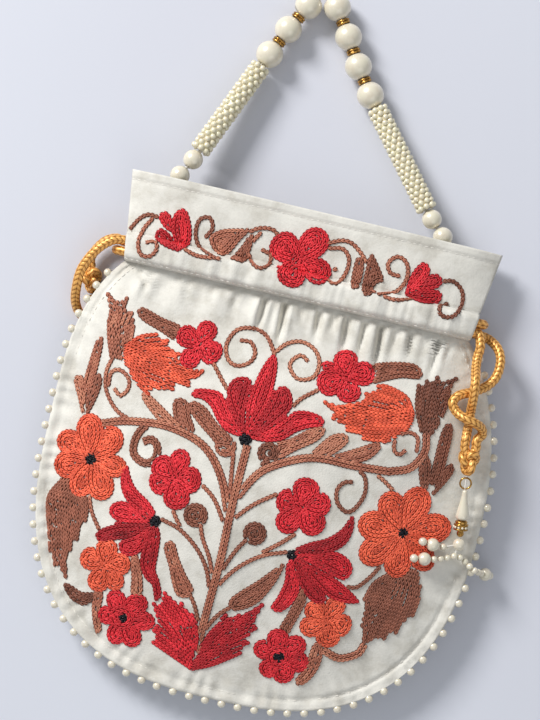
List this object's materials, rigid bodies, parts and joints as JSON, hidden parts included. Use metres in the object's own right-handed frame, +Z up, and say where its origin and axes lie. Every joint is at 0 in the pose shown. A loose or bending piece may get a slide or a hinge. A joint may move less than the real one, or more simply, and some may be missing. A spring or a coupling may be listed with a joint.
{
  "type": "drawstring pouch bag",
  "caption": "Flat round velvet drawstring bag with embroidered flowers, a pearl-edged seam, a pearl and bead handle, and gold drawstrings with beaded tassels.",
  "frame": {"origin": "on the surface that the bag's back lies on, under the middle of its widest line", "axes": "+X across the bag to the right, +Y from the round bottom to the mouth, +Z up out of the embroidered front"},
  "size_m": [0.2352, 0.3615, 0.037],
  "materials": {
    "velvet": "soft ivory velvet",
    "lining_satin": "plain satin",
    "pearl": "pearly gloss",
    "gold_metal": "polished antique gold",
    "gold_cord": "shiny braided cord",
    "thread": "plain beading thread",
    "red_thread": "silky embroidery thread",
    "orange_thread": "silky embroidery thread",
    "brown_thread": "silky embroidery thread"
  },
  "bodies": {
    "bag": {"back_band": "velvet", "back_panel": "velvet", "drawstring_back_leg_left": "gold_cord", "drawstring_back_leg_right": "gold_cord", "drawstring_channel_left": "gold_cord", "drawstring_channel_right": "gold_cord", "drawstring_front_leg_left": "gold_cord", "drawstring_front_leg_right": "gold_cord", "drop_pearl_left": "pearl", "drop_pearl_right": "pearl", "embroidery_band_vine": "brown_thread", "embroidery_daisy_left": "orange_thread", "embroidery_daisy_right": "orange_thread", "embroidery_orange_leaf_left": "orange_thread", "embroidery_orange_leaf_right": "orange_thread", "embroidery_red_leaf_pair": "red_thread", "embroidery_tulip_centre": "red_thread", "embroidery_tulip_left": "red_thread", "embroidery_tulip_right": "red_thread", "embroidery_vine": "brown_thread", "front_band": "velvet", "front_panel": "velvet", "handle_anchor_left": "thread", "handle_anchor_right": "thread", "knot_left": "gold_cord", "knot_right": "gold_cord", "lining": "lining_satin", "pearl_edging": "pearl", "rondelle_left": "gold_metal", "rondelle_right": "gold_metal", "strand_long_left": "pearl", "strand_long_right": "pearl", "strand_short_left": "pearl", "strand_short_right": "pearl", "tassel_link_left": "gold_metal", "tassel_link_right": "gold_metal", "tassel_pearl_left": "pearl", "tassel_pearl_right": "pearl"},
    "handle": {"bead_sleeve_left": "pearl", "bead_sleeve_right": "pearl", "end_pearl_left_1": "pearl", "end_pearl_left_2": "pearl", "end_pearl_right_1": "pearl", "end_pearl_right_2": "pearl", "handle_pearl_1": "pearl", "handle_pearl_2": "pearl", "handle_pearl_3": "pearl", "handle_pearl_4": "pearl", "handle_pearl_5": "pearl", "handle_pearl_6": "pearl", "handle_pearl_7": "pearl", "handle_string": "thread", "spacer_ring_1": "gold_metal", "spacer_ring_2": "gold_metal", "spacer_ring_3": "gold_metal", "spacer_ring_4": "gold_metal", "spacer_ring_5": "gold_metal", "spacer_ring_6": "gold_metal"}
  },
  "joints": [
    {"name": "handle_swing", "type": "hinge", "parent": "bag", "child": "handle", "pos_m": [0, 0.1315, 0.01405], "axis": [1, 0, 0], "range_deg": [-60, 60]}
  ]
}
